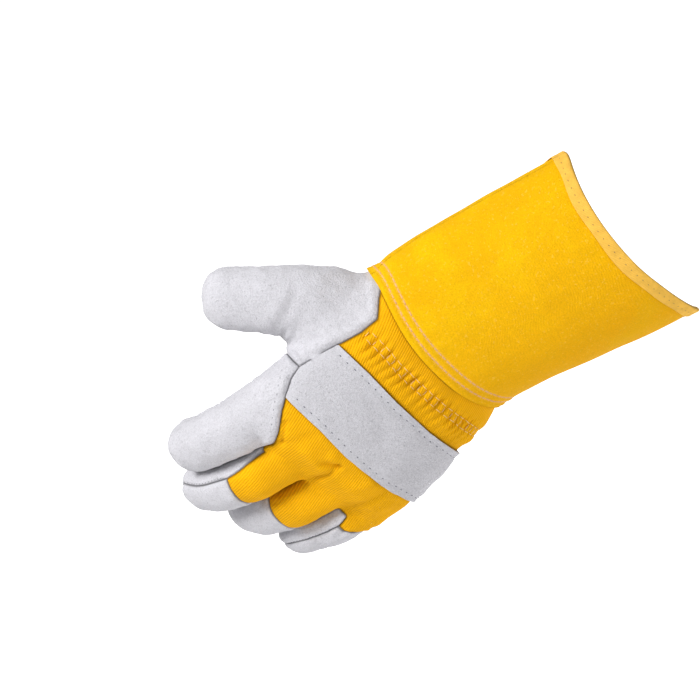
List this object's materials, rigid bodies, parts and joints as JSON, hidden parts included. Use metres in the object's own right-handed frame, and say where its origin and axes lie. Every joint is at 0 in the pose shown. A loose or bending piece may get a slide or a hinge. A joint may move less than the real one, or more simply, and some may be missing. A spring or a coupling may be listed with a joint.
{
  "type": "rigger glove",
  "caption": "Left-hand rigger glove with a split leather palm, a cotton drill back, a knuckle strap and a flared gauntlet cuff, held in its worn shape.",
  "frame": {"origin": "middle of the wrist, in the hollow where the hand goes in", "axes": "+X from the fingers to the cuff's mouth, -Y out of the back of the hand, +Z towards the thumb side"},
  "size_m": [0.289, 0.1151, 0.2213],
  "materials": {
    "suede": "split leather, matt nap",
    "drill": "cotton twill, matt",
    "canvas": "rubberised cotton canvas, satin",
    "binding": "folded cotton tape, matt"
  },
  "bodies": {
    "root": {"thumb_back": "suede", "index_back": "suede", "back_panel": "drill", "middle_tip": "suede", "ring_tip": "suede", "little_tip": "suede", "middle_front": "suede", "ring_front": "suede", "palm": "suede", "knuckle_strap": "suede", "gauntlet_cuff": "canvas", "cuff_binding": "binding"}
  },
  "joints": []
}
